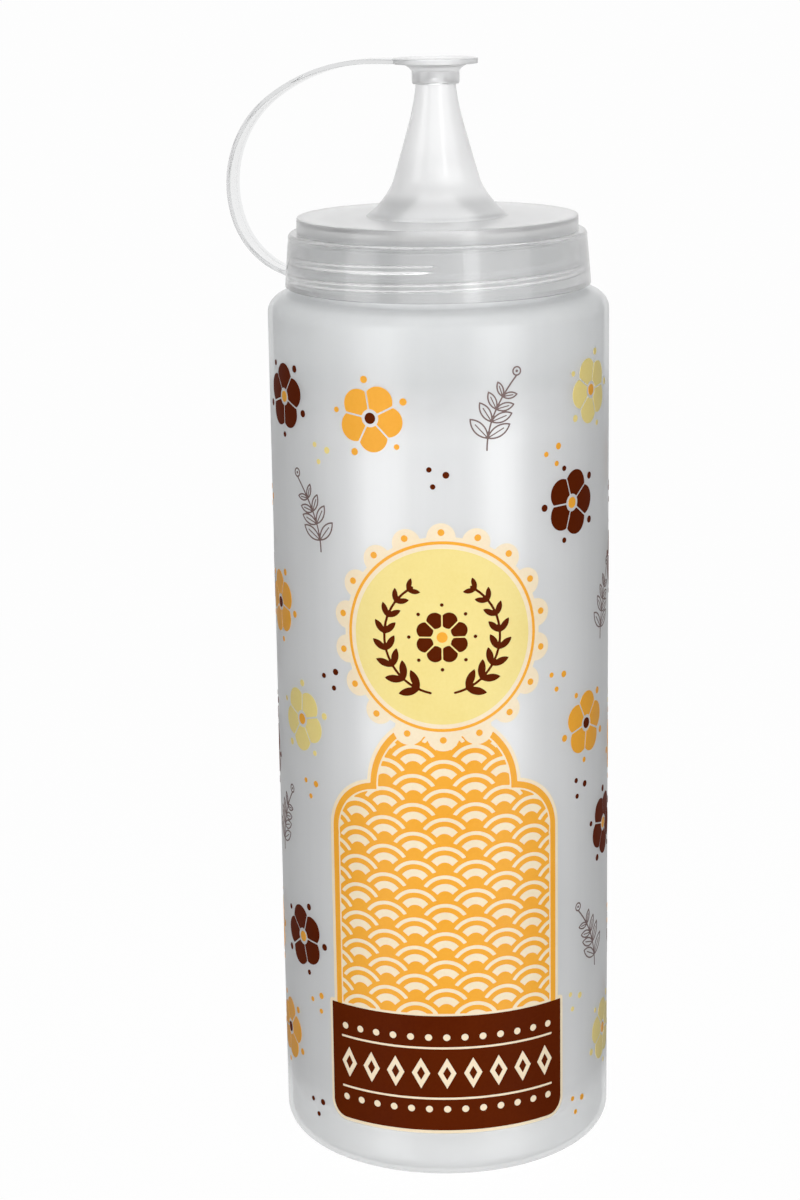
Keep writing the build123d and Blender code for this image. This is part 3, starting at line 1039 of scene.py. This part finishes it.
def blossom(u, v, r, ink, heart, turn):
    draw(ink, petals(u, v, r, 5, turn), u, v, r * 1.15)
    draw(heart, disc(u, v, 0.17 * r), u, v, 0.3 * r)
    for k in range(5):
        a = turn + 2 * math.pi * (k + 0.5) / 5
        x, y = u + 1.16 * r * math.cos(a), v + 1.16 * r * math.sin(a)
        rr = 0.085 * r if k % 2 else 0.11 * r
        draw(ink, disc(x, y, rr), x, y, rr + 0.5)


def sprig(u, v, size, lean, side=1):
    """A stem with paired leaves and a berry at its tip, in fine line."""
    n = 18
    pts = []
    for i in range(n + 1):
        t = i / n
        x = side * lean * (t * t * 0.55 - 0.18)
        pts.append((u + x * size, v + (t - 0.5) * size))
    parts = [stroke(pts, 0.36)]
    for k, t in enumerate((0.22, 0.40, 0.58, 0.75)):
        i = int(t * n)
        x, y = pts[i]
        up = math.atan2(pts[i + 1][1] - pts[i][1], pts[i + 1][0] - pts[i][0])
        le = size * (0.36 - 0.05 * k)
        for sgn in (-1, 1):
            lf = leaf(x, y, le, le * 0.40, up + sgn * math.radians(52))
            parts.append(line_of(lf, 0.34))
            ex, ey = x + 0.72 * le * math.cos(up + sgn * math.radians(52)), y + 0.72 * le * math.sin(up + sgn * math.radians(52))
            parts.append(stroke([(x, y), (ex, ey)], 0.26))
    x, y = pts[-1]
    parts.append(line_of(disc(x, y + 0.9, 0.95), 0.34))
    parts.append(disc(x, y + 0.9, 0.32))
    draw("line", either(*parts), u, v, size * 0.62, size * 0.66)


def specks(u, v, ink, d=2.3, turn=0.4):
    for k in range(3):
        a = turn + 2 * math.pi * k / 3
        x, y, r = u + d * math.cos(a), v + d * math.sin(a), 0.62 + 0.16 * (k == 0)
        draw(ink, disc(x, y, r), x, y, r + 0.5)


def scales(u0, v_base, rr, rows):
    """Overlapping round scales, each with two inner rings and a core: the traditional wave pattern."""
    def f(U, V):
        front = np.full(U.shape, 1e3)
        out = np.full(U.shape, 1e3)
        for k in range(rows):
            off = rr if k % 2 else 0.0
            x = (U - u0 - off + rr) % (2 * rr) - rr
            d = np.hypot(x, V - (v_base + k * rr / 2))
            mark = np.minimum(np.minimum(np.abs(d - 0.93 * rr) - 0.075 * rr, np.abs(d - 0.64 * rr) - 0.085 * rr), d - 0.30 * rr)
            out = np.minimum(out, np.maximum(mark, -(front - 0.0)))
            front = np.minimum(front, d - rr)
        return out
    return f


def lay_out_print():
    # the panel: a field of scales under a lobed arch, on a dark plinth
    half = 28.2
    arch = either(slab(0, 62, half, 24.0), disc(-half + 12.6, 86, 12.6), disc(half - 12.6, 86, 12.6), slab(0, 92, half - 12.6, 12.0), disc(0, 98, 17.5))
    plinth = either(slab(0, 27.5, half + 1.6, 14.5, 4.0), slab(0, 38.0, half + 1.6, 4.0))
    medal = (0.0, 134.0)
    lobes = 18
    scallop = [disc(*medal, 23.4)]
    for k in range(lobes):
        a = 2 * math.pi * (k + 0.5) / lobes
        scallop.append(disc(medal[0] + 23.2 * math.cos(a), medal[1] + 23.2 * math.sin(a), 3.3))
    border = either(*scallop)
    frame_all = either(grown(arch, 0.9), grown(plinth, 0.8))
    draw("cream", either(frame_all, border), 0, 86, 34, 78)
    inner = grown(arch, -1.9)
    field = both(inner, scales(0.0, 36.0, 7.0, 24), lambda U, V: 42.6 - V, without(lambda U, V: V - 200.0, grown(border, 0.5)))
    draw("caramel", field, 0, 80, 30, 42)
    rim = both(line_of(grown(arch, -0.75), 1.5), lambda U, V: 42.0 - V, without(lambda U, V: V - 200.0, grown(border, 0.4)))
    draw("caramel", rim, 0, 80, 32, 42)
    # plinth: dark, with rows of dots and lozenges left open
    holes = []
    for k in range(-6, 7):
        holes.append(disc(k * 4.3, 36.6, 0.85))
        holes.append(disc(k * 4.3, 18.4, 0.85))
    for k in range(-4, 5):
        x = k * 6.2
        holes.append(lambda U, V, x=x: (np.abs(U - x) / 2.2 + np.abs(V - 27.5) / 3.9 - 1) * 1.9)
    lozenge_heart = []
    for k in range(-4, 5):
        x = k * 6.2
        lozenge_heart.append((lambda U, V, x=x: (np.abs(U - x) / 0.95 + np.abs(V - 27.5) / 1.7 - 1) * 0.8, x))
    holes.append(slab(0, 33.9, half - 1.2, 0.28, 0.2))
    holes.append(slab(0, 21.1, half - 1.2, 0.28, 0.2))
    draw("brown", without(plinth, either(*holes)), 0, 27.5, 31, 16)
    for fn, x in lozenge_heart:
        draw("brown", fn, x, 27.5, 1.6, 2.4)
    # medallion: pale yellow, edged by a fine line and beads, with a wreath inside
    draw("yellow", disc(*medal, 20.6), *medal, 22.0)
    draw("caramel", ring(*medal, 22.0, 0.7), *medal, 23.2)
    for k in range(lobes):
        a = 2 * math.pi * (k + 0.5) / lobes
        x, y = medal[0] + 24.35 * math.cos(a), medal[1] + 24.35 * math.sin(a)
        draw("caramel", disc(x, y, 0.78), x, y, 1.3)
    wreath = []
    for side in (-1, 1):
        arc = []
        for i in range(25):
            a = math.radians(-90 + side * (12 + i * 138 / 24))
            arc.append((medal[0] + 13.4 * math.cos(a), medal[1] + 13.4 * math.sin(a)))
        wreath.append(stroke(arc, 0.55))
        for k in range(8):
            i = 2 + k * 3
            x, y = arc[min(i, 24)]
            j = min(i, 23)
            up = math.atan2(arc[j + 1][1] - arc[j][1], arc[j + 1][0] - arc[j][0])
            le = 5.0 - 0.28 * k
            for sgn in (-1, 1):
                wreath.append(leaf(x, y, le, 1.9 - 0.1 * k, up + sgn * math.radians(40)))
    draw("brown", either(*wreath), *medal, 19.5)
    draw("brown", petals(*medal, 6.4, 8, math.radians(22.5), fat=0.30, reach=0.66), *medal, 8.0)
    draw("caramel", disc(*medal, 1.25), *medal, 1.9)
    for k in range(8):
        a = 2 * math.pi * k / 8
        x, y = medal[0] + 7.6 * math.cos(a), medal[1] + 7.6 * math.sin(a)
        draw("brown", disc(x, y, 0.42), x, y, 0.9)
    # blossoms and sprigs round the wall
    spots = [
        (-44, 186, "b", "brown", 0.3), (-16, 184, "b", "caramel", 1.1), (13, 185, "s", 0.8, 1), (42, 187, "b", "yellow", 0.7),
        (-33, 160, "s", 0.9, -1), (34, 162, "b", "brown", 0.0),
        (-50, 136, "b", "caramel", 0.5), (50, 135, "s", 0.7, 1),
        (-39, 110, "b", "yellow", 0.9), (40, 108, "b", "caramel", 0.2),
        (-50, 82, "s", 0.8, 1), (51, 80, "b", "brown", 1.0),
        (-41, 55, "b", "brown", 0.6), (42, 54, "s", 0.9, -1),
        (-51, 28, "b", "caramel", 0.2), (51, 27, "b", "yellow", 0.4),
    ]
    rows = [166, 143, 120, 97, 74, 51, 28]
    inks = ["caramel", "brown", "yellow"]
    n = 0
    for i, v in enumerate(rows):
        us = [73, 99, 125.7, 152, 178] if i % 2 == 0 else [64, 86, 112, 139, 165, 187.5]
        for j, u in enumerate(us):
            # the first and last columns of a short row stand clear of the front's own
            if i % 2 == 1 and j in (0, 5) and v not in (143, 97, 51):
                continue
            kind = (i * 2 + j) % 3
            n += 1
            if kind == 1:
                spots.append((u, v, "s", 0.8 + 0.1 * (j % 2), 1 if (i + j) % 2 else -1))
            else:
                spots.append((u, v, "b", inks[(i + j * 2) % 3], 0.37 * n))
    for sp in spots:
        if sp[2] == "b":
            heart = {"brown": "caramel", "caramel": "brown", "yellow": "caramel"}[sp[3]]
            blossom(sp[0], sp[1], 7.6, sp[3], heart, sp[4])
        else:
            sprig(sp[0], sp[1], 16.5, sp[3], sp[4])
    for u, v, ink, t in [(-1, 171, "brown", 0.2), (-28, 122, "brown", 0.9), (29, 121, "caramel", 0.4), (-59, 160, "caramel", 0.1), (60, 160, "brown", 0.6), (-60, 109, "brown", 0.3), (61, 108, "yellow", 0.8), (-61, 56, "yellow", 1.2), (60, 54, "caramel", 0.0), (-30, 175, "yellow", 0.3), (28, 174, "caramel", 0.9), (-36, 94, "caramel", 0.5), (37, 93, "brown", 0.1), (-35, 40, "caramel", 1.0), (35, 40, "yellow", 0.2), (-36, 13, "brown", 0.6), (36, 13, "caramel", 0.3)]:
        specks(u, v, ink, turn=t)


def build_print():
    lay_out_print()
    film("print_cream", INK["cream"], 0.030, MAT_INK["cream"], 0.2)
    film("print_yellow", INK["yellow"], 0.045, MAT_INK["yellow"], 0.2)
    film("print_caramel", INK["caramel"], 0.060, MAT_INK["caramel"], 0.2)
    film("print_brown", INK["brown"], 0.075, MAT_INK["brown"], 0.2)
    film("print_line", INK["line"], 0.040, MAT_INK["line"], 0.11)


build_stage()
build_camera()
build_bottle()
build_closure()
build_tip()
build_strap()
build_print()
build_light()
bpy.context.scene.view_settings.view_transform = "Standard"
bpy.context.scene.view_settings.look = "None"
